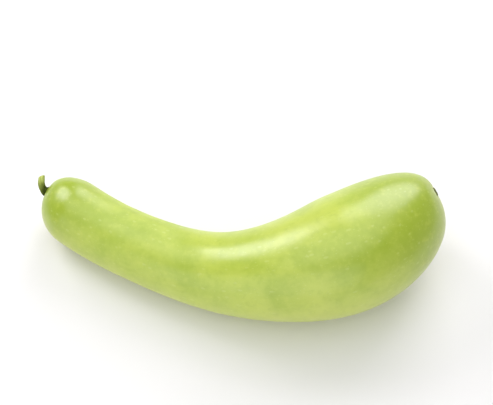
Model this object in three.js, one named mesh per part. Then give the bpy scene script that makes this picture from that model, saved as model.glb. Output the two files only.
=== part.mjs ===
// Bottle gourd, picked and lying on its side: a bent fruit with a slim neck and a full belly,
// the ribbed stub of its stem, and the dry scar that the blossom left.
// Millimetres, +Z up. The fruit rests on z = 0 and the origin is under the middle of the whole.

import * as THREE from 'three';
import { mergeVertices } from 'three/addons/utils/BufferGeometryUtils.js';

const UP = new THREE.Vector3(0, 0, 1);
const ASSEMBLY_GAP = 0.3;

// The fruit's axis in plan, from the stem end to the blossom end: one cubic curve
const AXIS_PLAN = [[-165.6, 55.8], [41.2, -100.7], [109.5, 20.6], [152.4, 36.6]];

// Girth: a straight neck that swells into the belly, closed by a dome at each end
const NECK_RADIUS = 27.3;
const BELLY_RADIUS = 48.4;
const BELLY_AT = 268;
const SWELL_ONSET = 2.3;
const STEM_DOME = 32.7;
const BLOSSOM_POWER = 2.2;

// How the underside lies: sunk a little at three low spots, and turned up at both ends
const SPOT_DEPTH = 0.8;
const SPOT_FIRST = 60;
const SPOT_PITCH = 100;
const SPOT_RISE = 1.5;
const STEM_LIFT = 6.6;
const STEM_LIFT_REACH = 70;
const BLOSSOM_LIFT = 18.5;

// Stem end: a dimple that the stem sits in, a shoulder that stands further out behind it,
// and soft lobes round it
const DIMPLE_DEPTH = 2.2;
const DIMPLE_RADIUS = 12;
const SHOULDER_SKEW = 5.3;
const SHOULDER_REACH = 60;
const LOBES = 5;
const LOBE_DEPTH = 0.018;
const LOBE_REACH = 26;

// Blossom end: flattened, with a small pit round the scar
const FLAT_DEPTH = 2.1;
const FLAT_RADIUS = 14;
const PIT_DEPTH = 1.2;
const PIT_RADIUS = 6.5;

// Stem stub: its path from the fruit's seat, its girth and its slanted cut
const STEM_SEAT_RADIUS = 5;
const STEM_PATH = [[0, 0, 0], [-5.2, 2.55, 1.07], [-4.7, 7.7, 5.3], [-3.9, 10.5, 8.5]];
const STEM_RADIUS = 2.85;
const STEM_FLARE = 1.15;
const STEM_FLARE_REACH = 2.6;
const STEM_TIP_TAPER = 0.45;
const STEM_TIP_ROUND = 1.8;
const STEM_RIDGES = 5;
const STEM_RIDGE_DEPTH = 0.1;
const STEM_CUT_SLOPE = 0.6;

// Blossom scar: a low corky button with a raised rim
const SCAR_RADIUS = 3.8;
const SCAR_RIM_RADIUS = 2.5;
const SCAR_HEIGHT = 1;
const SCAR_HOLLOW = 0.4;

// Facets
const FRUIT_RINGS = 64;
const FRUIT_SIDES = 48;
const STEM_RINGS = 12;
const STEM_RING_CROWDING = 1.3;
const STEM_SIDES = 30;
const SCAR_SIDES = 24;

const axisPlan = new THREE.CubicBezierCurve(...AXIS_PLAN.map(([x, y]) => new THREE.Vector2(x, y)));
const axisLength = axisPlan.getLength();
const blossomCap = axisLength - BELLY_AT;

// Where along the axis the flat seats of the stem and of the scar close the fruit
const stemSeatAt = STEM_DOME * (1 - Math.sqrt(1 - (STEM_SEAT_RADIUS / NECK_RADIUS) ** 2));
const scarShare = (SCAR_RADIUS / BELLY_RADIUS) ** BLOSSOM_POWER;
const scarSeatAt = BELLY_AT + blossomCap * (1 - scarShare) ** (1 / BLOSSOM_POWER);

// ---------- the fruit's girth and axis, by distance s along the axis ----------

function bodyRadius(s) {
  const swell = THREE.MathUtils.smoothstep((s / BELLY_AT) ** SWELL_ONSET, 0, 1);
  return THREE.MathUtils.lerp(NECK_RADIUS, BELLY_RADIUS, swell);
}

function fruitRadius(s) {
  const fromStem = Math.min(s / STEM_DOME, 1);
  const intoCap = Math.max((s - BELLY_AT) / blossomCap, 0);
  const stemDome = Math.sqrt(1 - (1 - fromStem) ** 2);
  const blossomDome = (1 - intoCap ** BLOSSOM_POWER) ** (1 / BLOSSOM_POWER);
  return bodyRadius(s) * stemDome * blossomDome;
}

function axisHeight(s) {
  const spot = (s - SPOT_FIRST) / SPOT_PITCH;
  const rise = spot > 0 && spot < 2 ? SPOT_RISE * Math.sin(Math.PI * spot) ** 2 : 0;
  const stemLift = STEM_LIFT * Math.max(1 - s / STEM_LIFT_REACH, 0) ** 2;
  const blossomLift = BLOSSOM_LIFT * Math.max((s - BELLY_AT) / blossomCap, 0) ** 2;
  return bodyRadius(s) - SPOT_DEPTH + rise + stemLift + blossomLift;
}

function axisPoint(s) {
  const plan = axisPlan.getPointAt(s / axisLength);
  return new THREE.Vector3(plan.x, plan.y, axisHeight(s));
}

function axisTangent(s) {
  const before = axisPoint(Math.max(s - 0.5, 0));
  const after = axisPoint(Math.min(s + 0.5, axisLength));
  return after.sub(before).normalize();
}

// ---------- shared: a turned solid laid round a path ----------

function sideOf(tangent) {
  return new THREE.Vector3().crossVectors(UP, tangent).normalize();
}

// The point at a radius and angle round a centre, square to the tangent
function around(centre, tangent, radius, angle) {
  const side = sideOf(tangent);
  const top = new THREE.Vector3().crossVectors(tangent, side);
  return centre.clone()
    .addScaledVector(side, radius * Math.cos(angle))
    .addScaledVector(top, radius * Math.sin(angle));
}

// A closed turned solid. Its profile is [radius, distance] pairs from axis to axis, and place()
// gives each merged corner its point in space from its radius, angle and distance.
function turned(profile, sides, place) {
  const lathe = new THREE.LatheGeometry(profile.map(([r, s]) => new THREE.Vector2(r, s)), sides);
  lathe.deleteAttribute('normal');
  lathe.deleteAttribute('uv');
  const geometry = mergeVertices(lathe, 1e-4);
  const corners = geometry.getAttribute('position');
  const corner = new THREE.Vector3();
  for (let i = 0; i < corners.count; i += 1) {
    corner.fromBufferAttribute(corners, i);
    const radius = Math.hypot(corner.x, corner.z);
    const angle = Math.atan2(corner.x, corner.z);
    corner.copy(place(radius, angle, corner.y));
    corners.setXYZ(i, corner.x, corner.y, corner.z);
  }
  geometry.computeVertexNormals();
  return geometry;
}

// ---------- fruit ----------

// How far the skin at a radius stands in from the plain domes, along the axis
function stemDimple(radius) {
  return DIMPLE_DEPTH * Math.exp(-((Math.max(radius, STEM_SEAT_RADIUS) / DIMPLE_RADIUS) ** 2));
}

function blossomHollow(radius) {
  const outside = Math.max(radius, SCAR_RADIUS);
  const flat = FLAT_DEPTH * Math.exp(-((outside / FLAT_RADIUS) ** 2));
  return flat + PIT_DEPTH * Math.exp(-((outside / PIT_RADIUS) ** 4));
}

function fruitPoint(radius, angle, s) {
  const tangent = axisTangent(s);
  const lobes = 1 + LOBE_DEPTH * Math.cos(LOBES * angle) * Math.exp(-((s / LOBE_REACH) ** 2));
  const skew = SHOULDER_SKEW * Math.max(1 - s / SHOULDER_REACH, 0) ** 2 / NECK_RADIUS;
  const inwards = s < BELLY_AT ? stemDimple(radius) : -blossomHollow(radius);
  return around(axisPoint(s), tangent, radius * lobes, angle)
    .addScaledVector(tangent, inwards - skew * radius * Math.cos(angle));
}

function fruitGeometry() {
  const profile = [[0, stemSeatAt]];
  for (let i = 0; i <= FRUIT_RINGS; i += 1) {
    const share = 0.5 - 0.5 * Math.cos(Math.PI * i / FRUIT_RINGS);
    const s = THREE.MathUtils.lerp(stemSeatAt, scarSeatAt, share);
    profile.push([fruitRadius(s), s]);
  }
  profile.push([0, scarSeatAt]);
  return turned(profile, FRUIT_SIDES, (radius, angle, s) => {
    const point = fruitPoint(radius, angle, s);
    point.z = Math.max(point.z, 0);
    return point;
  });
}

// ---------- stem ----------

function stemGeometry() {
  const tangent = axisTangent(stemSeatAt);
  const seatLean = SHOULDER_SKEW * (1 - stemSeatAt / SHOULDER_REACH) ** 2 / NECK_RADIUS;
  const outwards = tangent.clone().addScaledVector(sideOf(tangent), seatLean).normalize().negate();
  const seat = fruitPoint(0, 0, stemSeatAt).addScaledVector(outwards, ASSEMBLY_GAP);
  const path = new THREE.CubicBezierCurve3(...STEM_PATH.map((p) => new THREE.Vector3(...p).add(seat)));
  const length = path.getLength();

  const profile = [[0, 0]];
  for (let i = 0; i <= STEM_RINGS; i += 1) {
    const s = (length - STEM_TIP_ROUND) * (i / STEM_RINGS) ** STEM_RING_CROWDING;
    const flare = STEM_FLARE * Math.exp(-((s / STEM_FLARE_REACH) ** 2));
    profile.push([STEM_RADIUS + flare - STEM_TIP_TAPER * (s / length) ** 2, s]);
  }
  const rim = STEM_RADIUS - STEM_TIP_TAPER - STEM_TIP_ROUND;
  const bevel = STEM_TIP_ROUND * Math.SQRT1_2;
  profile.push([rim + bevel, length - STEM_TIP_ROUND + bevel]);
  profile.push([rim, length]);
  profile.push([0, length]);

  return turned(profile, STEM_SIDES, (radius, angle, s) => {
    const along = Math.min(s / length, 1);
    const direction = along > 0 ? path.getTangentAt(along) : outwards;
    const ridged = radius * (1 + STEM_RIDGE_DEPTH * Math.cos(STEM_RIDGES * angle));
    const cut = -STEM_CUT_SLOPE * ridged * Math.cos(angle) * along ** 4;
    return around(path.getPointAt(along), direction, ridged, angle).addScaledVector(direction, cut);
  });
}

// ---------- blossom scar ----------

function scarGeometry() {
  const outwards = axisTangent(scarSeatAt);
  const seat = fruitPoint(0, 0, scarSeatAt).addScaledVector(outwards, ASSEMBLY_GAP);
  const profile = [
    [0, 0],
    [SCAR_RADIUS * 0.97, 0],
    [SCAR_RADIUS * 0.94, SCAR_HEIGHT * 0.55],
    [SCAR_RIM_RADIUS, SCAR_HEIGHT],
    [SCAR_RIM_RADIUS * 0.55, SCAR_HEIGHT - SCAR_HOLLOW],
    [0, SCAR_HEIGHT - SCAR_HOLLOW],
  ];
  return turned(profile, SCAR_SIDES, (radius, angle, s) => {
    const centre = seat.clone().addScaledVector(outwards, s);
    return around(centre, outwards, radius, angle);
  });
}

// ---------- the gourd ----------

function piece(name, geometry, color, roughness) {
  const material = new THREE.MeshStandardMaterial({ color, roughness, metalness: 0 });
  const mesh = new THREE.Mesh(geometry, material);
  mesh.name = name;
  return mesh;
}

const gourd = new THREE.Group();
gourd.add(piece('fruit', fruitGeometry(), 0xb4cc62, 0.35));
gourd.add(piece('stem', stemGeometry(), 0x66732b, 0.7));
gourd.add(piece('blossom_scar', scarGeometry(), 0x4a4220, 0.85));

const middle = new THREE.Box3().setFromObject(gourd).getCenter(new THREE.Vector3());
gourd.position.set(-middle.x, -middle.y, 0);

export default gourd;
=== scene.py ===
"""Dresses a picked bottle gourd that lies on its side, and sets it on a pale table in soft light.

It makes the waxy rind, the ribbed stub of the stem with the down on it, and the dry scar that the
blossom left. Each stands for the plain solid in the same place, follows the same rules of shape
in finer steps, and adds the unevenness, folds and crinkles of the grown thing.
Lengths are metres and +Z is up.
"""

import bisect
import math
import random

import bmesh
import bpy
from bpy.props import FloatProperty, FloatVectorProperty, IntProperty, PointerProperty
from mathutils import Matrix, Vector, noise


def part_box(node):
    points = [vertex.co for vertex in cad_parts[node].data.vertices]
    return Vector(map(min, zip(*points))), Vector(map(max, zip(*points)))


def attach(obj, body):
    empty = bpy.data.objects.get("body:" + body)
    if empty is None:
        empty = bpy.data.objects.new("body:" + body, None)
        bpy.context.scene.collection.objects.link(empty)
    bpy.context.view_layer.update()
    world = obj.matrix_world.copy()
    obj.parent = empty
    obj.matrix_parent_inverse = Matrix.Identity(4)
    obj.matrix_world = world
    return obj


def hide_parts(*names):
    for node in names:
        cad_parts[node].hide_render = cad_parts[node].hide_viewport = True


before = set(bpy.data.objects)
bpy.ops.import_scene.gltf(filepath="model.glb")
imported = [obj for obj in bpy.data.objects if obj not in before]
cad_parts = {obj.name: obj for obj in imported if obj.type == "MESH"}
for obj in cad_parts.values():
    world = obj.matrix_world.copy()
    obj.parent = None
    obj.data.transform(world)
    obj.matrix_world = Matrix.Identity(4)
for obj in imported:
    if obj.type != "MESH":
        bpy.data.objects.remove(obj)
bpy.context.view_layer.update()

bl_info = {
    "name": "Bottle Gourd",
    "version": (1, 0, 0),
    "blender": (4, 5, 0),
    "location": "3D View > Sidebar > Gourd",
    "description": "Makes the rind, stem and blossom scar of a bottle gourd, and its table and lights",
    "category": "Add Mesh",
}

MM = 0.001
UP = Vector((0.0, 0.0, 1.0))
BODY = "root"


# ---------- measures that the finished pieces share with the solids ----------

# The fruit's axis in plan, from the stem end to the blossom end: one cubic curve, in millimetres
AXIS_PLAN = ((-165.6, 55.8), (41.2, -100.7), (109.5, 20.6), (152.4, 36.6))
WALK_STEPS = 200
TANGENT_REACH = 0.5 * MM
SWELL_ONSET = 2.3
STEM_DOME = 32.7 * MM
BLOSSOM_POWER = 2.2

# The underside: sunk a little at three low spots, and turned up at both ends
SPOT_DEPTH = 0.8 * MM
SPOT_FIRST = 60 * MM
SPOT_PITCH = 100 * MM
SPOT_RISE = 1.5 * MM
STEM_LIFT = 6.6 * MM
STEM_LIFT_REACH = 70 * MM
BLOSSOM_LIFT = 18.5 * MM

# The stem end: a dimple, a shoulder that stands out behind the stem, and soft lobes
DIMPLE_DEPTH = 2.2 * MM
DIMPLE_RADIUS = 12 * MM
SHOULDER_SKEW = 5.3 * MM
SHOULDER_REACH = 60 * MM
LOBES = 5
LOBE_DEPTH = 0.018
LOBE_REACH = 26 * MM

# The blossom end: flattened, with a small pit round the scar
FLAT_DEPTH = 2.1 * MM
FLAT_RADIUS = 14 * MM
PIT_DEPTH = 1.2 * MM
PIT_RADIUS = 6.5 * MM

# The stem's path from its seat, in millimetres, its foot, its tip and its slanted cut
ASSEMBLY_GAP = 0.3 * MM
STEM_SEAT_RADIUS = 5 * MM
STEM_PATH = ((0, 0, 0), (-5.2, 2.55, 1.07), (-4.7, 7.7, 5.3), (-3.9, 10.5, 8.5))
STEM_FLARE = 1.15 * MM
STEM_FLARE_REACH = 2.6 * MM
STEM_TIP_TAPER = 0.45 * MM
STEM_TIP_ROUND = 1.8 * MM
STEM_CUT_SLOPE = 0.6

SCAR_RIM = 0.54
SCAR_HOLLOW = 0.4 * MM

# The solids' own facets, which say where the middle of the fruit is
SOLID_RINGS = 64
SOLID_SIDES = 48

# ---------- measures of the finer forms ----------

MERGE = 0.001 * MM
RIND_RINGS = 380
RIND_SIDES = 220
BROAD_SWELLS = 52 * MM
SMALL_SWELLS = 16 * MM
SMALL_SHARE = 0.5
SWELLS_FADE = 7 * MM
PUCKERS = 13
PUCKER_WANDER = 1.1
PUCKER_REACH = 5.5 * MM
SHOULDER_FOLDS = 10
SHOULDER_FOLD_REACH = 7 * MM
FOLD_FADE = 0.8 * MM

STEM_SIDES = 120
STEM_RINGS = 84
STEM_SUNK = 0.9 * MM
STEM_TURN_IN = 1.4 * MM
STEM_TWIST = 0.35
COLLAR = 0.35 * MM
COLLAR_REACH = 0.75 * MM
GROOVE_DEPTH = 0.075
STRANDS = 30
STRAND_DEPTH = 0.012
STRAND_WANDER = 2.0
STEM_KNOB_HEIGHT = 0.10 * MM
STEM_KNOB_LENGTH = 2 * MM
ROUND_STEPS = 7
PITH_STEPS = 12
PITH_SINK = 0.45 * MM

# The down's order of random draws, how thick a hair is, and how far it stands off its root
DOWN_SEED = 7
HAIR_ROOT_RADIUS = 0.035 * MM
HAIR_TIP_RADIUS = 0.008 * MM
HAIR_STANDS_OFF = 0.42

SCAR_SIDES = 104
SCAR_SUNK = 0.7 * MM
SCAR_RISE_STEPS = 14
SCAR_BOWL_STEPS = 12
SCAR_EDGE = 0.97
SCAR_CRACKS = 13
CRACK_WANDER = 1.3
CRACK_DEPTH = 0.42 * MM
CRACK_REACH = 1.1 * MM
CRACK_NOTCH = 0.05
SCAR_KNOB_DEPTH = 0.12 * MM
STYLE_HEIGHT = 0.35 * MM
STYLE_RADIUS = 0.6 * MM

# ---------- sizes of the patterns in the finishes ----------

# Sizes of soft patterns, and of long ones across and along the growth
CLOUDS = 0.034
WARM_PATCHES = 0.075
MOTTLE = 0.0056
STREAKS_ACROSS = 0.0030
STREAKS_ALONG = 0.055
RAGGED_EDGE = 0.03
RUBS_ACROSS = 0.009
RUBS_ALONG = 0.024
CRACKLE = 0.0019
WAX = 0.012
PORES = 0.0011
PORE_DEPTH = 0.04 * MM

# Flecks: their cells across and along, their width, and the share of the cells that hold one
LARGE_FLECKS = (0.0042, 0.0074, 0.30, 0.45)
SMALL_FLECKS = (0.0019, 0.0027, 0.27, 0.40)
FLECK_CORE = 0.45
FLECK_FADE = 0.12
FLECK_STRENGTH = 0.22

# Where along the fruit the skin changes, from the stem end: where a change begins and where it is full
# The darkening at both ends (the DARK_ values) is partly the skin's own deeper green and partly
# painted shade
DARK_STEM_END = (0.070, 0.015)
STREAKED_STEM_END = (0.075, 0.006)
MATT_NECK_BEGINS = (0.024, 0.055)
MATT_NECK_ENDS = (0.135, 0.100)
DARK_BEFORE_BELLY = 0.015
DARK_BEFORE_TIP = 0.020
# From PALED_FROM the pale low side, which is partly painted bounce light, weakens towards the belly
PALED_FROM = 0.10
# How far the crackle reaches past the scar, and how far it is full
CRACKLE_REACH = 0.016
CRACKLE_FULL = 0.005

SKIN_DEPTH_COLOURS = (0.8, 1.0, 0.25)
SKIN_DEPTH = 6 * MM

STALK_STRANDS_ACROSS = 0.00055
STALK_STRANDS_ALONG = 0.006
STALK_SPECKS = 0.0006
STALK_GRAIN = 0.0004
STALK_RELIEF = 0.12 * MM

CRUST = 0.0011
CRUST_PATCHES = 0.0030
CRUST_RELIEF = 0.25 * MM

TABLE_SIDES = 96
TABLE_BLOTS = 0.25
TABLE_DULL = 0.985

# An axis stretched by this much no longer counts
FLATTENED = 1e6

# ---------- lights ----------

# The two key lights are a touch cooler than the rest
COOL = (0.975, 0.94, 1.0)
NEUTRAL = (1.0, 1.0, 1.0)
# Name, side of the gourd, distance, width and height, tint
SOFTBOXES = (
    ("left", (-0.59, 0.53, 0.65), 1.25, (0.58, 0.6), COOL),
    ("right", (0.34, 0.79, 0.66), 1.25, (0.85, 0.95), COOL),
    ("top", (0.0, -0.08, 1.0), 1.8, (2.1, 1.7), NEUTRAL),
    ("fill", (-0.22, -0.88, 0.42), 1.8, (3.2, 1.55), NEUTRAL),
)


# ---------- settings ----------

def length(name, description, millimetres):
    """A length in metres, from its usual value in millimetres."""
    return FloatProperty(
        name=name, description=description, default=millimetres * MM,
        min=0.0, precision=4, unit="LENGTH",
    )


def colour(name, description, red, green, blue):
    """A linear colour."""
    return FloatVectorProperty(
        name=name, description=description, default=(red, green, blue),
        size=3, min=0.0, max=1.0, subtype="COLOR",
    )


def share(name, description, default):
    """A number from 0 to 1."""
    return FloatProperty(
        name=name, description=description, default=default,
        min=0.0, max=1.0, subtype="FACTOR",
    )


def watts(name, description, default):
    """The power of a light."""
    return FloatProperty(
        name=name, description=description, default=default, min=0.0, unit="POWER",
    )


class GourdFruitSettings(bpy.types.PropertyGroup):
    """Girth, unevenness and finish of the fruit."""

    neck_radius: length("Neck radius", "Half the width of the fruit's neck", 27.3)
    belly_radius: length("Belly radius", "Half the width of the fruit's belly", 48.4)
    belly_at: length("Belly at", "Distance along the axis from the stem end to the fullest girth", 268)
    unevenness: length("Unevenness", "How deep the broad hollows of the skin are", 0.42)
    pucker_depth: length("Puckers", "How deep the folds round the blossom scar are", 0.34)
    pale: colour("Pale green", "Clear parts of the clouded rind", 0.470, 0.575, 0.063)
    deep: colour("Deep green", "Shaded parts of the clouded rind", 0.340, 0.460, 0.022)
    # The ends colour is partly the skin's own deeper green and partly painted shade; the mottle reuses
    # it as a darker tone
    ends: colour("Ends", "The darker skin of both rounded ends", 0.300, 0.410, 0.012)
    golden: colour("Golden green", "Where the rind ripens first", 0.525, 0.60, 0.080)
    fleck: colour("Flecks", "Fine pale flecks that run lengthwise", 0.60, 0.68, 0.22)
    # The ground colour is partly the real ground spot and partly painted bounce light from the table
    # and the low fill; the crackle by the scar reuses it
    pale_ground_and_bounce: colour("Ground side", "The underside, which saw no sun", 0.62, 0.66, 0.19)
    scuff: colour("Scuffs", "Dry rubbed marks", 0.44, 0.40, 0.12)
    gloss_roughness: share("Gloss roughness", "Roughness of the waxy skin", 0.30)


class GourdStemSettings(bpy.types.PropertyGroup):
    """Girth, ridges, down and finish of the stem stub."""

    radius: length("Radius", "Half the width of the stub above its foot", 2.85)
    ridges: IntProperty(
        name="Ridges", description="Ridges that run along the stub", default=5, min=3, max=9,
    )
    ridge_depth: share("Ridge depth", "Height of the ridges as a share of the radius", 0.1)
    hairs: IntProperty(
        name="Hairs", description="Short hairs on the stub", default=180, min=0, max=2000,
    )
    hair_length: length("Hair length", "Length of the longest hairs", 0.5)
    # The foot colour is painted shade where the stub meets the fruit; the dark strands reuse it
    foot: colour("Foot", "Colour at the foot of the stub", 0.032, 0.048, 0.001)
    skin: colour("Skin", "Colour of the stub's skin", 0.24, 0.29, 0.055)
    # The tip colour is partly the paler dry tip and partly a painted highlight from the light above
    tip: colour("Tip", "Colour near the cut", 0.54, 0.62, 0.17)
    pith: colour("Pith", "Colour of the dry cut face", 0.52, 0.53, 0.22)
    pale_down: colour("Pale down", "Colour of the fresher hairs", 0.34, 0.38, 0.13)
    dry_down: colour("Dry down", "Colour of the drier hairs", 0.20, 0.22, 0.05)


class GourdScarSettings(bpy.types.PropertyGroup):
    """Size and finish of the blossom scar."""

    radius: length("Radius", "Half the width of the scar", 3.8)
    height: length("Height", "Height of the scar's rim", 1)
    cork: colour("Cork", "Colour of the dry cork", 0.050, 0.064, 0.006)
    crust: colour("Crust", "Colour of the pale worn edges", 0.20, 0.23, 0.06)


class GourdStageSettings(bpy.types.PropertyGroup):
    """Table, lights and camera."""

    table_radius: length("Table radius", "Half the width of the round table top", 9000)
    table: colour("Table", "Colour of the table top", 0.86, 0.86, 0.85)
    left_power: watts("Left light", "Power of the light behind the stem end", 6.5)
    right_power: watts("Right light", "Power of the light behind the belly", 9.5)
    top_power: watts("Top light", "Power of the large light overhead", 15.1)
    fill_power: watts("Fill light", "Power of the wide low light in front", 16.5)
    wall_strength: share("Walls", "Brightness of the white surroundings at the horizon", 0.45)
    ceiling_strength: share("Ceiling", "Brightness of the white surroundings overhead", 0.20)
    camera_distance: length("Camera distance", "From the camera to the point it aims at", 1123)
    camera_elevation: FloatProperty(
        name="Camera elevation", description="Angle of the camera above the horizon",
        default=math.radians(60), subtype="ANGLE",
    )
    camera_aim: FloatVectorProperty(
        name="Camera aim", description="The point that the camera looks at",
        default=(0.00633, 0.04433, 0.03), size=3, subtype="TRANSLATION",
    )
    lens: FloatProperty(
        name="Lens", description="Focal length of the camera", default=100.0,
        min=1.0, unit="CAMERA",
    )


# ---------- curves and turned shapes ----------

def smooth(value, low=0.0, high=1.0):
    """0 below low, 1 above high, and a smooth rise between them."""
    step = min(max((value - low) / (high - low), 0.0), 1.0)
    return step * step * (3 - 2 * step)


def fading(value, reach, power=2):
    """1 at 0, and close to 0 past the reach."""
    return math.exp(-((value / reach) ** power))


class Walk:
    """A cubic curve that is walked by distance from its start."""

    def __init__(self, corners):
        self.corners = corners
        stops = [self.at_share(step / WALK_STEPS) for step in range(WALK_STEPS + 1)]
        self.reached = [0.0]
        for before, after in zip(stops, stops[1:]):
            self.reached.append(self.reached[-1] + (after - before).length)
        self.length = self.reached[-1]

    def at_share(self, curve_share):
        points = self.corners
        while len(points) > 1:
            points = [a.lerp(b, curve_share) for a, b in zip(points, points[1:])]
        return points[0]

    def at(self, distance):
        stop = bisect.bisect_right(self.reached, distance, 1, WALK_STEPS) - 1
        step = self.reached[stop + 1] - self.reached[stop]
        part = (distance - self.reached[stop]) / step
        return self.at_share((stop + part) / WALK_STEPS)

    def direction(self, distance):
        before = self.at(max(distance - TANGENT_REACH, 0.0))
        after = self.at(min(distance + TANGENT_REACH, self.length))
        return (after - before).normalized()


def side_of(direction):
    return UP.cross(direction).normalized()


def around(centre, direction, radius, angle):
    """The point at a radius and angle round a centre, square to the direction."""
    side = side_of(direction)
    top = direction.cross(side)
    return centre + side * (radius * math.cos(angle)) + top * (radius * math.sin(angle))


def spun(profile, sides):
    """A closed shape turned round Z from (radius, distance) pairs that start and end on the axis."""
    shape = bmesh.new()
    corners = [shape.verts.new((radius, 0.0, along)) for radius, along in profile]
    chain = [shape.edges.new(pair) for pair in zip(corners, corners[1:])]
    bmesh.ops.spin(
        shape, geom=corners + chain, cent=(0, 0, 0), axis=UP, angle=math.tau,
        steps=sides, use_merge=True,
    )
    bmesh.ops.remove_doubles(shape, verts=shape.verts, dist=MERGE)
    return shape


def laid(shape, place):
    """Moves each corner of a turned shape to place(radius, angle, distance along the axis).

    The attribute grown keeps where each corner was before, so that a finish can follow the growth.
    """
    grown = shape.verts.layers.float_vector.new("grown")
    for corner in shape.verts:
        straight = corner.co.copy()
        corner[grown] = straight
        radius = math.hypot(straight.x, straight.y)
        angle = math.atan2(straight.y, straight.x)
        corner.co = place(radius, angle, straight.z)
    shape.normal_update()
    bmesh.ops.recalc_face_normals(shape, faces=shape.faces)
    return shape


def shown(name, shape, finish, slot, *nodes):
    """The finished piece, which moves with the gourd and stands for the solids of these names."""
    for face in shape.faces:
        face.smooth = True
    mesh = bpy.data.meshes.new(name)
    shape.to_mesh(mesh)
    shape.free()
    mesh.materials.append(finish)
    piece = bpy.data.objects.new(name, mesh)
    bpy.context.scene.collection.objects.link(piece)
    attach(piece, BODY)
    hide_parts(*nodes)
    return piece


class GourdShape:
    """The fruit's axis and girth, by distance along the axis from the stem end."""

    def __init__(self, fruit, scar):
        self.neck = fruit.neck_radius
        self.belly = fruit.belly_radius
        self.belly_at = fruit.belly_at
        self.scar_radius = scar.radius
        self.plan = Walk([Vector((x, y, 0.0)) * MM for x, y in AXIS_PLAN])
        self.length = self.plan.length
        self.cap = self.length - self.belly_at
        seat_share = STEM_SEAT_RADIUS / self.neck
        self.stem_seat_at = STEM_DOME * (1 - math.sqrt(1 - seat_share ** 2))
        scar_share = (scar.radius / self.belly) ** BLOSSOM_POWER
        self.scar_seat_at = self.belly_at + self.cap * (1 - scar_share) ** (1 / BLOSSOM_POWER)
        self.stations = {}
        self.place = Vector((0.0, 0.0, 0.0))
        self.place = self.middle_of_solid() - self.middle_of_shape()

    def middle_of_solid(self):
        low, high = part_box("fruit")
        return Vector(((low.x + high.x) / 2, (low.y + high.y) / 2, 0.0))

    def middle_of_shape(self):
        """The middle in plan of the corners that the solid has."""
        corners = [
            self.point(radius, math.tau * side / SOLID_SIDES, along)
            for radius, along in self.profile(SOLID_RINGS)
            for side in range(SOLID_SIDES)
        ]
        middle = Vector((0.0, 0.0, 0.0))
        for axis in range(2):
            places = [corner[axis] for corner in corners]
            middle[axis] = (min(places) + max(places)) / 2
        return middle

    def body_radius(self, along):
        swell = smooth((along / self.belly_at) ** SWELL_ONSET)
        return self.neck + (self.belly - self.neck) * swell

    def radius(self, along):
        from_stem = min(along / STEM_DOME, 1.0)
        into_cap = max((along - self.belly_at) / self.cap, 0.0)
        stem_dome = math.sqrt(1 - (1 - from_stem) ** 2)
        blossom_dome = (1 - into_cap ** BLOSSOM_POWER) ** (1 / BLOSSOM_POWER)
        return self.body_radius(along) * stem_dome * blossom_dome

    def height(self, along):
        """Height of the axis above the table."""
        spot = (along - SPOT_FIRST) / SPOT_PITCH
        rise = SPOT_RISE * math.sin(math.pi * spot) ** 2 if 0 < spot < 2 else 0.0
        stem_lift = STEM_LIFT * max(1 - along / STEM_LIFT_REACH, 0.0) ** 2
        blossom_lift = BLOSSOM_LIFT * max((along - self.belly_at) / self.cap, 0.0) ** 2
        return self.body_radius(along) - SPOT_DEPTH + rise + stem_lift + blossom_lift

    def centre(self, along):
        return self.plan.at(along) + UP * self.height(along) + self.place

    def tangent(self, along):
        before = self.centre(max(along - TANGENT_REACH, 0.0))
        after = self.centre(min(along + TANGENT_REACH, self.length))
        return (after - before).normalized()

    def station(self, along):
        """Centre and tangent of the ring at this distance."""
        key = round(along / MERGE)
        if key not in self.stations:
            self.stations[key] = (self.centre(along) - self.place, self.tangent(along))
        return self.stations[key]

    def skew(self, along):
        """How much further out the shoulder stands on one side, per metre across."""
        return SHOULDER_SKEW * max(1 - along / SHOULDER_REACH, 0.0) ** 2 / self.neck

    def pressed_in(self, radius, along):
        """How far the skin lies along the axis from a plain dome, in the dimple or at the blossom."""
        if along < self.belly_at:
            return DIMPLE_DEPTH * fading(max(radius, STEM_SEAT_RADIUS), DIMPLE_RADIUS)
        outside = max(radius, self.scar_radius)
        flat = FLAT_DEPTH * fading(outside, FLAT_RADIUS)
        return -flat - PIT_DEPTH * fading(outside, PIT_RADIUS, 4)

    def point(self, radius, angle, along):
        centre, tangent = self.station(along)
        lobes = 1 + LOBE_DEPTH * math.cos(LOBES * angle) * fading(along, LOBE_REACH)
        pressed = self.pressed_in(radius, along) - self.skew(along) * radius * math.cos(angle)
        ring_point = around(centre + self.place, tangent, radius * lobes, angle)
        return ring_point + tangent * pressed

    def profile(self, rings):
        """(radius, distance) pairs from seat to seat, closed on the axis, closer at both ends."""
        pairs = [(0.0, self.stem_seat_at)]
        for ring in range(rings + 1):
            step = 0.5 - 0.5 * math.cos(math.pi * ring / rings)
            along = self.stem_seat_at + (self.scar_seat_at - self.stem_seat_at) * step
            pairs.append((self.radius(along), along))
        pairs.append((0.0, self.scar_seat_at))
        return pairs


# ---------- finishes ----------

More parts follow.
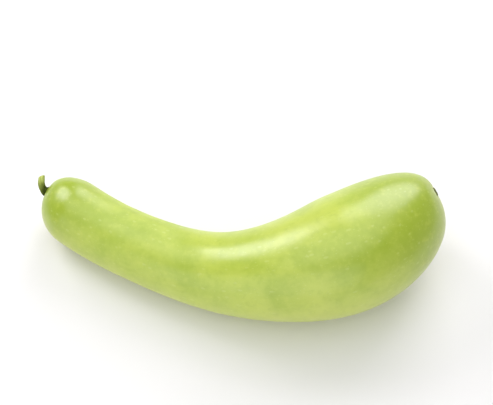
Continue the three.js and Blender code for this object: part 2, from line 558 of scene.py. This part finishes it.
class Finish:
    """A material whose colour, roughness and bump come from patterns on the surface."""

    def __init__(self, name, roughness):
        self.material = bpy.data.materials.new(name)
        self.material.use_nodes = True
        self.tree = self.material.node_tree
        self.shader = self.tree.nodes["Principled BSDF"]
        self.shader.inputs["Roughness"].default_value = roughness

    def add(self, kind, inputs, **settings):
        """A node with its settings, whose inputs are values or other nodes' outputs."""
        node = self.tree.nodes.new(kind)
        for name, value in settings.items():
            setattr(node, name, value)
        for name, value in inputs.items():
            socket = node.inputs[name]
            if isinstance(value, bpy.types.NodeSocket):
                self.tree.links.new(value, socket)
            else:
                socket.default_value = value
        return node

    def place(self):
        """Where a point is, in metres."""
        return self.add("ShaderNodeTexCoord", {}).outputs["Object"]

    def grown(self):
        """Where a point was on the straight turned shape: across, across, and along the axis."""
        return self.add("ShaderNodeAttribute", {}, attribute_name="grown").outputs["Vector"]

    def stretched(self, vector, across, along):
        """The vector in pattern units of this size across and along the growth."""
        scale = (1 / across, 1 / across, 1 / along)
        node = self.add("ShaderNodeMapping", {"Vector": vector, "Scale": scale})
        return node.outputs["Vector"]

    def parts(self, vector):
        return self.add("ShaderNodeSeparateXYZ", {"Vector": vector}).outputs

    def cloud(self, vector, size, detail=2.0, roughness=0.5, warp=0.0):
        """Soft noise whose features are about this size."""
        inputs = {
            "Vector": vector, "Scale": 1 / size, "Detail": detail,
            "Roughness": roughness, "Distortion": warp,
        }
        return self.add("ShaderNodeTexNoise", inputs).outputs["Fac"]

    def maths(self, operation, first, second):
        node = self.tree.nodes.new("ShaderNodeMath")
        node.operation = operation
        for socket, value in zip(node.inputs, (first, second)):
            if isinstance(value, bpy.types.NodeSocket):
                self.tree.links.new(value, socket)
            else:
                socket.default_value = value
        return node.outputs["Value"]

    def band(self, value, low, high, bottom=0.0, top=1.0):
        """bottom below low, top above high, and a smooth change between them."""
        inputs = {
            "Value": value, "From Min": low, "From Max": high, "To Min": bottom, "To Max": top,
        }
        node = self.add("ShaderNodeMapRange", inputs, interpolation_type="SMOOTHSTEP")
        return node.outputs["Result"]

    def blend(self, amount, first, second):
        """Goes from the first colour to the second."""
        node = self.tree.nodes.new("ShaderNodeMix")
        node.data_type = "RGBA"
        sockets = {"Factor_Float": amount, "A_Color": first, "B_Color": second}
        for socket in node.inputs:
            value = sockets.get(socket.identifier)
            if isinstance(value, bpy.types.NodeSocket):
                self.tree.links.new(value, socket)
            elif value is not None:
                socket.default_value = value
        return node.outputs[2]

    def wear(self, socket_name, value):
        """Feeds a value to one of the shader's inputs."""
        self.tree.links.new(value, self.shader.inputs[socket_name])

    def bump(self, height, distance, strength=1.0):
        inputs = {"Height": height, "Distance": distance, "Strength": strength}
        node = self.add("ShaderNodeBump", inputs)
        self.wear("Normal", node.outputs["Normal"])


def rgba(linear):
    return (*linear, 1.0)


def flecks(finish, grown, across, along, width, kept):
    """Scattered flecks: 1 inside a fleck. About this share of the cells holds one."""
    cells = finish.add(
        "ShaderNodeTexVoronoi", {"Vector": finish.stretched(grown, across, along), "Scale": 1.0},
    )
    dot = finish.band(cells.outputs["Distance"], width, width * FLECK_CORE)
    lot = finish.parts(cells.outputs["Color"])["X"]
    chosen = finish.band(lot, 1 - kept, 1 - kept + FLECK_FADE)
    return finish.maths("MULTIPLY", dot, chosen)


def waxy_rind(look, gourd):
    """Clouded yellow-green skin with fine flecks, faint lengthwise streaks and a satin wax, with
    darker ends that are partly painted shade and a paler low side that is partly painted bounce light.
    """
    finish = Finish("waxy_rind", look.gloss_roughness)
    place = finish.place()
    grown = finish.grown()
    along = finish.parts(grown)["Z"]

    clouds = finish.cloud(place, CLOUDS, detail=3.0, roughness=0.55, warp=0.3)
    tone = finish.blend(finish.band(clouds, 0.28, 0.72), rgba(look.deep), rgba(look.pale))
    warm = finish.cloud(place, WARM_PATCHES, detail=1.0)
    tone = finish.blend(finish.band(warm, 0.42, 0.72, 0.0, 0.55), tone, rgba(look.golden))

    # Both ends darken towards the ends colour: partly the skin's own deeper green, partly painted
    # shade
    dark_stem_end_and_shade = finish.band(along, *DARK_STEM_END, 0.0, 0.85)
    begins, full = gourd.belly_at - DARK_BEFORE_BELLY, gourd.length - DARK_BEFORE_TIP
    dark_blossom_end_and_shade = finish.band(along, begins, full, 0.0, 0.9)
    tone = finish.blend(finish.maths("MAXIMUM", dark_stem_end_and_shade, dark_blossom_end_and_shade), tone, rgba(look.ends))
    mottle = finish.cloud(place, MOTTLE, detail=3.0, roughness=0.65)
    tone = finish.blend(finish.band(mottle, 0.48, 0.76, 0.0, 0.38), tone, rgba(look.golden))
    tone = finish.blend(finish.band(mottle, 0.50, 0.26, 0.0, 0.30), tone, rgba(look.ends))

    lengthwise = finish.stretched(grown, STREAKS_ACROSS, STREAKS_ALONG)
    streaks = finish.cloud(lengthwise, 1.0, detail=2.0, roughness=0.6)
    near_stem = finish.band(along, *STREAKED_STEM_END)
    near_blossom = finish.band(along, gourd.belly_at + gourd.cap * 0.35, gourd.length)
    near_ends = finish.maths("MAXIMUM", near_stem, near_blossom)
    streak_amount = finish.band(near_ends, 0.0, 1.0, 0.14, 0.40)
    streaked = finish.maths("MULTIPLY", finish.band(streaks, 0.50, 0.72), streak_amount)
    tone = finish.blend(streaked, tone, rgba(look.deep))

    for kind in (LARGE_FLECKS, SMALL_FLECKS):
        faint = finish.maths("MULTIPLY", flecks(finish, grown, *kind), FLECK_STRENGTH)
        tone = finish.blend(faint, tone, rgba(look.fleck))

    # The low side is paled: partly the real ground spot, partly painted bounce light from the table
    # and the low fill light
    outwards = finish.stretched(grown, 1.0, FLATTENED)
    facing = finish.add("ShaderNodeVectorMath", {0: outwards}, operation="NORMALIZE")
    upwards = finish.parts(facing.outputs["Vector"])["Y"]
    ragged = finish.maths("MULTIPLY", finish.cloud(place, RAGGED_EDGE, detail=2.0), 0.6)
    pale_low_side_and_bounce = finish.band(finish.maths("ADD", upwards, ragged), 0.95, -0.55)
    paled = finish.band(along, PALED_FROM, gourd.belly_at, 0.85, 0.68)
    tone = finish.blend(finish.maths("MULTIPLY", pale_low_side_and_bounce, paled), tone, rgba(look.pale_ground_and_bounce))

    handled = finish.stretched(grown, RUBS_ACROSS, RUBS_ALONG)
    rubbed = finish.cloud(handled, 1.0, detail=4.0, roughness=0.6)
    rubs = finish.band(rubbed, 0.66, 0.80, 0.0, 0.12)
    tone = finish.blend(rubs, tone, rgba(look.scuff))

    across = finish.add("ShaderNodeVectorMath", {0: outwards}, operation="LENGTH").outputs["Value"]
    scar_edge = gourd.scar_radius
    by_scar = finish.band(across, scar_edge + CRACKLE_REACH, scar_edge + CRACKLE_FULL)
    by_scar = finish.maths("MULTIPLY", by_scar, finish.band(along, gourd.belly_at, gourd.length))
    rays = finish.cloud(finish.stretched(grown, CRACKLE, CRACKLE), 1.0, detail=2.0, roughness=0.6)
    crackle = finish.maths("MULTIPLY", finish.band(rays, 0.50, 0.60), by_scar)
    creases = finish.maths("MULTIPLY", finish.band(rays, 0.50, 0.38), by_scar)
    tone = finish.blend(finish.maths("MULTIPLY", creases, 0.28), tone, rgba(look.scuff))
    tone = finish.blend(finish.maths("MULTIPLY", crackle, 0.5), tone, rgba(look.pale_ground_and_bounce))
    finish.wear("Base Color", tone)

    wax = finish.cloud(place, WAX, detail=3.0, roughness=0.6)
    sheen = finish.band(wax, 0.3, 0.7, look.gloss_roughness - 0.015, look.gloss_roughness + 0.06)
    past_dome = finish.band(along, *MATT_NECK_BEGINS)
    neck = finish.maths("MINIMUM", past_dome, finish.band(along, *MATT_NECK_ENDS))
    dry = finish.maths("MAXIMUM", rubs, finish.maths("MULTIPLY", crackle, 0.3))
    dry = finish.maths("MAXIMUM", dry, finish.maths("MULTIPLY", neck, 0.26))
    finish.wear("Roughness", finish.maths("ADD", sheen, finish.maths("MULTIPLY", dry, 0.5)))

    pores = finish.cloud(place, PORES, detail=2.0)
    relief = finish.maths("ADD", pores, finish.maths("MULTIPLY", crackle, 2.0))
    finish.bump(relief, PORE_DEPTH, 0.5)

    finish.shader.inputs["IOR"].default_value = 1.5
    finish.shader.inputs["Specular IOR Level"].default_value = 0.98
    finish.shader.inputs["Subsurface Weight"].default_value = 0.10
    finish.shader.inputs["Subsurface Radius"].default_value = SKIN_DEPTH_COLOURS
    finish.shader.inputs["Subsurface Scale"].default_value = SKIN_DEPTH
    return finish.material


def fibrous_stalk(look, stem_length):
    """Olive stalk with painted shade at its foot and on one side, a tip that is partly pale and partly
    a painted highlight on top, with strands and a cut face.
    """
    finish = Finish("fibrous_stalk", 0.62)
    grown = finish.grown()
    parts = finish.parts(grown)
    along = parts["Z"]
    # One side of the stub is painted in shade, and its top towards the tip is painted lit
    shade_by_side = finish.band(along, stem_length * 0.3, stem_length * 0.9, 0.8, -0.15)
    shade_along = finish.maths("ADD", along, finish.maths("MULTIPLY", parts["X"], shade_by_side))
    green = finish.band(shade_along, stem_length * 0.20, stem_length * 0.62)
    tone = finish.blend(green, rgba(look.foot), rgba(look.skin))
    pale = finish.band(shade_along, stem_length * 0.5, stem_length * 0.85)
    lit_top = finish.band(parts["Y"], 0.2 * MM, look.radius * 0.85, 0.3, 1.0)
    tone = finish.blend(finish.maths("MULTIPLY", pale, lit_top), tone, rgba(look.tip))
    fibres = finish.stretched(grown, STALK_STRANDS_ACROSS, STALK_STRANDS_ALONG)
    strands = finish.cloud(fibres, 1.0, detail=3.0, roughness=0.6)
    tone = finish.blend(finish.band(strands, 0.52, 0.75, 0.0, 0.3), tone, rgba(look.foot))
    specks = finish.cloud(grown, STALK_SPECKS, detail=2.0)
    tone = finish.blend(finish.band(specks, 0.62, 0.72, 0.0, 0.25), tone, rgba(look.pith))

    outwards = finish.stretched(grown, 1.0, FLATTENED)
    across = finish.add("ShaderNodeVectorMath", {0: outwards}, operation="LENGTH").outputs["Value"]
    at_tip = finish.band(along, stem_length - 0.8 * MM, stem_length - 0.5 * MM)
    inside = finish.band(across, 1.2 * MM, 0.7 * MM)
    face = finish.maths("MULTIPLY", at_tip, inside)
    grain = finish.cloud(grown, STALK_GRAIN, detail=3.0)
    cut = finish.blend(finish.band(grain, 0.45, 0.7, 0.0, 0.6), rgba(look.pith), rgba(look.skin))
    tone = finish.blend(face, tone, cut)
    finish.wear("Base Color", tone)

    finish.wear("Roughness", finish.band(strands, 0.3, 0.7, 0.5, 0.75))
    relief = finish.maths("ADD", strands, finish.maths("MULTIPLY", grain, 0.5))
    finish.bump(relief, STALK_RELIEF, 0.8)
    finish.shader.inputs["Specular IOR Level"].default_value = 0.08
    return finish.material


def dry_down(look):
    """Short hairs, some fresher and some drier."""
    finish = Finish("dry_down", 0.6)
    lot = finish.cloud(finish.place(), 0.0009, detail=1.0)
    fresh = finish.band(lot, 0.4, 0.6)
    finish.wear("Base Color", finish.blend(fresh, rgba(look.dry_down), rgba(look.pale_down)))
    return finish.material


def corky_scar(look):
    """Dark dry cork with pale worn edges and fine cracks."""
    finish = Finish("corky_scar", 0.85)
    grown = finish.grown()
    crust = finish.cloud(grown, CRUST, detail=4.0, roughness=0.65)
    foot = finish.band(finish.parts(grown)["Z"], look.height * 0.55, 0.0, 0.0, 0.75)
    patches = finish.band(finish.cloud(grown, CRUST_PATCHES, detail=1.0), 0.48, 0.62, 0.0, 0.7)
    worn = finish.maths("MAXIMUM", finish.band(crust, 0.52, 0.70), patches)
    worn = finish.maths("MAXIMUM", worn, foot)
    tone = finish.blend(worn, rgba(look.cork), rgba(look.crust))
    finish.wear("Base Color", tone)
    finish.wear("Roughness", finish.band(crust, 0.3, 0.7, 0.9, 0.72))
    finish.bump(crust, CRUST_RELIEF, 0.8)
    finish.shader.inputs["Specular IOR Level"].default_value = 0.1
    return finish.material


def pale_table(look):
    """A matt pale top with the faintest variation."""
    finish = Finish("pale_table", 0.7)
    blot = finish.cloud(finish.place(), TABLE_BLOTS, detail=2.0)
    dull = tuple(channel * TABLE_DULL for channel in look.table)
    finish.wear("Base Color", finish.blend(finish.band(blot, 0.3, 0.7), rgba(dull), rgba(look.table)))
    finish.shader.inputs["Specular IOR Level"].default_value = 0.2
    return finish.material


# ---------- fruit ----------

def skin_depth(settings, gourd, straight):
    """How far the skin lies in from the smooth fruit at a point of the straight shape."""
    radius = math.hypot(straight.x, straight.y)
    angle = math.atan2(straight.y, straight.x)
    broad = 0.5 - 0.5 * noise.noise(straight / BROAD_SWELLS)
    small = 0.5 - 0.5 * noise.noise(straight / SMALL_SWELLS)
    swells = broad + SMALL_SHARE * small
    if straight.z < gourd.belly_at:
        edge = radius - STEM_SEAT_RADIUS
        folds, reach = SHOULDER_FOLDS, SHOULDER_FOLD_REACH
    else:
        edge = radius - gourd.scar_radius
        folds, reach = PUCKERS, PUCKER_REACH
    wander = PUCKER_WANDER * noise.noise(straight / reach)
    fold = (0.5 + 0.5 * math.cos(folds * angle + wander)) * fading(edge, reach)
    near_ends = smooth(edge, 0.0, SWELLS_FADE)
    return (
        settings.unevenness * swells * near_ends
        + settings.pucker_depth * fold * smooth(edge, 0.0, FOLD_FADE)
    )


def make_rind(settings, gourd):
    rind = laid(spun(gourd.profile(RIND_RINGS), RIND_SIDES), gourd.point)
    grown = rind.verts.layers.float_vector["grown"]
    rind.normal_update()
    for corner in rind.verts:
        corner.co -= corner.normal * skin_depth(settings, gourd, corner[grown])
        corner.co.z = max(corner.co.z, 0.0)
    return shown("fruit_rind", rind, waxy_rind(settings, gourd), "rind", "fruit")


# ---------- stem ----------

class StemShape:
    """The stub's path and girth, by distance from its seat on the fruit."""

    def __init__(self, settings, gourd):
        self.settings = settings
        seat_at = gourd.stem_seat_at
        tangent = gourd.tangent(seat_at)
        lean = gourd.skew(seat_at)
        self.outwards = -(tangent + side_of(tangent) * lean).normalized()
        self.seat = gourd.point(0.0, 0.0, seat_at) + self.outwards * ASSEMBLY_GAP
        self.path = Walk([self.seat + Vector(corner) * MM for corner in STEM_PATH])
        self.length = self.path.length

    def radius(self, along):
        flare = STEM_FLARE * fading(max(along, 0.0), STEM_FLARE_REACH)
        collar = COLLAR * fading(along + ASSEMBLY_GAP, COLLAR_REACH)
        taper = STEM_TIP_TAPER * max(along / self.length, 0.0) ** 2
        return self.settings.radius + flare + collar - taper

    def profile(self):
        """Foot, skin, rounded edge of the cut, and the sunken pith."""
        shoulder = self.length - STEM_TIP_ROUND
        pairs = [(0.0, -STEM_SUNK)]
        for ring in range(STEM_RINGS + 1):
            along = -STEM_SUNK + (shoulder + STEM_SUNK) * ring / STEM_RINGS
            pairs.append((self.radius(along), along))
        rim = self.radius(shoulder) - STEM_TIP_ROUND
        for step in range(1, ROUND_STEPS + 1):
            turn = math.pi / 2 * step / ROUND_STEPS
            pairs.append((
                rim + STEM_TIP_ROUND * math.cos(turn),
                shoulder + STEM_TIP_ROUND * math.sin(turn),
            ))
        for step in range(1, PITH_STEPS + 1):
            inwards = step / PITH_STEPS
            pairs.append((rim * (1 - inwards), self.length - PITH_SINK * smooth(inwards, 0.0, 0.7)))
        return pairs

    def ribs(self, angle, along):
        """Ridges with narrow grooves between them, and finer strands on top."""
        turned = angle + STEM_TWIST * max(along / self.length, 0.0) ** 2
        ridge = math.cos(self.settings.ridges * turned)
        groove = max(-ridge, 0.0) ** 5
        wander = STRAND_WANDER * noise.noise(Vector((3 * angle, along / MM, 0.0)))
        strand = math.cos(STRANDS * turned + wander)
        return 1 + self.settings.ridge_depth * ridge - GROOVE_DEPTH * groove + STRAND_DEPTH * strand

    def point(self, radius, angle, along):
        inside = max(along, 0.0)
        turned_in = smooth(inside, 0.0, STEM_TURN_IN)
        direction = self.outwards.lerp(self.path.direction(inside), turned_in).normalized()
        centre = self.path.at(inside) + self.outwards * min(along, 0.0)
        ribbed = radius * self.ribs(angle, along)
        on_skin = Vector((math.cos(angle), math.sin(angle), along / STEM_KNOB_LENGTH))
        ribbed += STEM_KNOB_HEIGHT * noise.noise(on_skin) * smooth(radius, 0.0, STEM_KNOB_LENGTH)
        cut = -STEM_CUT_SLOPE * ribbed * math.cos(angle) * (inside / self.length) ** 4
        return around(centre, direction, ribbed, angle) + direction * cut


def make_stem(settings, gourd):
    stem = StemShape(settings, gourd)
    shape = laid(spun(stem.profile(), STEM_SIDES), stem.point)
    return shown("stem_stub", shape, fibrous_stalk(settings, stem.length), "stem", "stem")


def make_down(settings, gourd):
    """Short hairs on the stub's skin, leaning towards its tip."""
    stem = StemShape(settings, gourd)
    lot = random.Random(DOWN_SEED)
    down = bmesh.new()
    for _ in range(settings.hairs):
        along = stem.length * lot.uniform(0.03, 0.93)
        angle = lot.uniform(0.0, math.tau)
        long = settings.hair_length * lot.uniform(0.35, 1.0)
        root = stem.point(stem.radius(along), angle, along)
        middle = stem.path.at(along)
        lean = stem.path.direction(along) * lot.uniform(0.2, 1.1)
        stray = Vector([lot.uniform(-0.35, 0.35) for _ in range(3)])
        direction = ((root - middle).normalized() + lean + stray).normalized()
        turn = UP.rotation_difference(direction).to_matrix().to_4x4()
        middle_of_hair = root + direction * (long * HAIR_STANDS_OFF)
        bmesh.ops.create_cone(
            down, cap_ends=True, segments=3, radius1=HAIR_ROOT_RADIUS, radius2=HAIR_TIP_RADIUS,
            depth=long, matrix=Matrix.Translation(middle_of_hair) @ turn,
        )
    return shown("stem_down", down, dry_down(settings), "stem")


# ---------- blossom scar ----------

class ScarShape:
    """A low corky button: a cracked rim round a shallow bowl, with the stump of the style."""

    def __init__(self, settings, gourd):
        self.settings = settings
        self.outwards = gourd.tangent(gourd.scar_seat_at)
        self.seat = gourd.point(0.0, 0.0, gourd.scar_seat_at) + self.outwards * ASSEMBLY_GAP

    def profile(self):
        edge = self.settings.radius * SCAR_EDGE
        rim = self.settings.radius * SCAR_RIM
        height = self.settings.height
        pairs = [(0.0, -SCAR_SUNK), (edge, -SCAR_SUNK)]
        for step in range(SCAR_RISE_STEPS + 1):
            turn = math.pi / 2 * step / SCAR_RISE_STEPS
            pairs.append((rim + (edge - rim) * math.cos(turn), height * math.sin(turn)))
        for step in range(1, SCAR_BOWL_STEPS + 1):
            radius = rim * (1 - step / SCAR_BOWL_STEPS)
            bowl = SCAR_HOLLOW * (1 - (radius / rim) ** 2)
            style = STYLE_HEIGHT * fading(radius, STYLE_RADIUS)
            pairs.append((radius, height - bowl + style))
        return pairs

    def point(self, radius, angle, along):
        settings = self.settings
        wander = CRACK_WANDER * noise.noise(Vector((math.cos(angle), math.sin(angle), along / MM)))
        crack = (0.5 + 0.5 * math.cos(SCAR_CRACKS * angle + wander)) ** 3
        on_rim = fading(radius - settings.radius * SCAR_RIM, CRACK_REACH)
        knob = noise.noise(Vector((math.cos(angle) * 2, math.sin(angle) * 2, radius / MM)))
        raised = smooth(along, 0.0, settings.height)
        lowered = (CRACK_DEPTH * crack * on_rim + SCAR_KNOB_DEPTH * abs(knob)) * raised
        narrowed = radius * (1 - CRACK_NOTCH * crack * smooth(radius, 0.0, settings.radius))
        centre = self.seat + self.outwards * (along - lowered)
        return around(centre, self.outwards, narrowed, angle)


def make_scar(settings, gourd):
    scar = ScarShape(settings, gourd)
    shape = laid(spun(scar.profile(), SCAR_SIDES), scar.point)
    return shown("scar_cork", shape, corky_scar(settings), "cork", "blossom_scar")


# ---------- stage ----------

def aimed(direction):
    """The turn that points a light or a camera along a direction, with its top upwards."""
    return direction.to_track_quat("-Z", "Y")


def make_table(settings):
    top = bmesh.new()
    bmesh.ops.create_circle(top, cap_ends=True, segments=TABLE_SIDES, radius=settings.table_radius)
    mesh = bpy.data.meshes.new("table")
    top.to_mesh(mesh)
    top.free()
    mesh.materials.append(pale_table(settings))
    table = bpy.data.objects.new("table", mesh)
    bpy.context.scene.collection.objects.link(table)


def make_softbox(name, towards, distance, size, power, tint):
    """A large soft light on the side of the gourd that towards names, turned to the gourd."""
    light = bpy.data.lights.new(name, "AREA")
    light.shape = "RECTANGLE"
    light.size, light.size_y = size
    light.energy = power
    light.color = tint
    holder = bpy.data.objects.new(name, light)
    away = Vector(towards).normalized()
    holder.location = away * distance
    holder.rotation_mode = "QUATERNION"
    holder.rotation_quaternion = aimed(-away)
    holder.visible_camera = False
    bpy.context.scene.collection.objects.link(holder)


def make_surroundings(walls, ceiling):
    """A white room whose ceiling is dimmer than its walls."""
    world = bpy.data.worlds.new("white_room")
    world.use_nodes = True
    nodes, links = world.node_tree.nodes, world.node_tree.links
    background = nodes["Background"]
    background.inputs["Color"].default_value = (1.0, 1.0, 1.0, 1.0)
    sight = nodes.new("ShaderNodeTexCoord")
    upwards = nodes.new("ShaderNodeSeparateXYZ")
    fade = nodes.new("ShaderNodeMapRange")
    fade.interpolation_type = "SMOOTHSTEP"
    fade.inputs["To Min"].default_value = walls
    fade.inputs["To Max"].default_value = ceiling
    links.new(sight.outputs["Generated"], upwards.inputs["Vector"])
    links.new(upwards.outputs["Z"], fade.inputs["Value"])
    links.new(fade.outputs["Result"], background.inputs["Strength"])
    bpy.context.scene.world = world


def make_camera(settings):
    camera = bpy.data.cameras.new("camera")
    camera.lens = settings.lens
    holder = bpy.data.objects.new("camera", camera)
    low = settings.camera_elevation
    back = Vector((0.0, -math.cos(low), math.sin(low)))
    holder.location = Vector(settings.camera_aim) + back * settings.camera_distance
    holder.rotation_mode = "QUATERNION"
    holder.rotation_quaternion = aimed(-back)
    bpy.context.scene.collection.objects.link(holder)
    bpy.context.scene.camera = holder


# ---------- operators, panel and main ----------

def shape_of(scene):
    return GourdShape(scene.gourd_fruit, scene.gourd_scar)


class GOURD_OT_fruit(bpy.types.Operator):
    """Makes the fruit's waxy rind."""

    bl_idname = "gourd.fruit"
    bl_label = "Fruit"

    def execute(self, context):
        make_rind(context.scene.gourd_fruit, shape_of(context.scene))
        return {"FINISHED"}


class GOURD_OT_stem(bpy.types.Operator):
    """Makes the ribbed stub of the stem and the down on it."""

    bl_idname = "gourd.stem"
    bl_label = "Stem"

    def execute(self, context):
        gourd = shape_of(context.scene)
        make_stem(context.scene.gourd_stem, gourd)
        make_down(context.scene.gourd_stem, gourd)
        return {"FINISHED"}


class GOURD_OT_scar(bpy.types.Operator):
    """Makes the dry blossom scar."""

    bl_idname = "gourd.scar"
    bl_label = "Blossom scar"

    def execute(self, context):
        make_scar(context.scene.gourd_scar, shape_of(context.scene))
        return {"FINISHED"}


class GOURD_OT_stage(bpy.types.Operator):
    """Makes the table, the lights, the surroundings and the camera."""

    bl_idname = "gourd.stage"
    bl_label = "Stage"

    def execute(self, context):
        settings = context.scene.gourd_stage
        make_table(settings)
        for name, towards, distance, size, tint in SOFTBOXES:
            power = getattr(settings, name + "_power")
            make_softbox(name, towards, distance, size, power, tint)
        make_surroundings(settings.wall_strength, settings.ceiling_strength)
        make_camera(settings)
        context.scene.view_settings.view_transform = "Standard"
        return {"FINISHED"}


class GOURD_PT_panel(bpy.types.Panel):
    """Lists the gourd's settings and the buttons that make its pieces."""

    bl_idname = "GOURD_PT_panel"
    bl_label = "Bottle Gourd"
    bl_space_type = "VIEW_3D"
    bl_region_type = "UI"
    bl_category = "Gourd"

    def draw(self, context):
        for operator, settings_name in STEPS:
            box = self.layout.box()
            box.operator(operator.bl_idname)
            settings = getattr(context.scene, settings_name)
            for key in settings.__annotations__:
                box.prop(settings, key)


STEPS = (
    (GOURD_OT_fruit, "gourd_fruit"),
    (GOURD_OT_stem, "gourd_stem"),
    (GOURD_OT_scar, "gourd_scar"),
    (GOURD_OT_stage, "gourd_stage"),
)
SETTINGS = {
    "gourd_fruit": GourdFruitSettings,
    "gourd_stem": GourdStemSettings,
    "gourd_scar": GourdScarSettings,
    "gourd_stage": GourdStageSettings,
}


def register():
    for name, group in SETTINGS.items():
        bpy.utils.register_class(group)
        setattr(bpy.types.Scene, name, PointerProperty(type=group))
    for operator, _ in STEPS:
        bpy.utils.register_class(operator)
    bpy.utils.register_class(GOURD_PT_panel)


def unregister():
    bpy.utils.unregister_class(GOURD_PT_panel)
    for operator, _ in STEPS:
        bpy.utils.unregister_class(operator)
    for name, group in SETTINGS.items():
        delattr(bpy.types.Scene, name)
        bpy.utils.unregister_class(group)


def main():
    """Makes every piece and the stage."""
    register()
    bpy.ops.gourd.fruit()
    bpy.ops.gourd.stem()
    bpy.ops.gourd.scar()
    bpy.ops.gourd.stage()


if __name__ == "__main__":
    main()
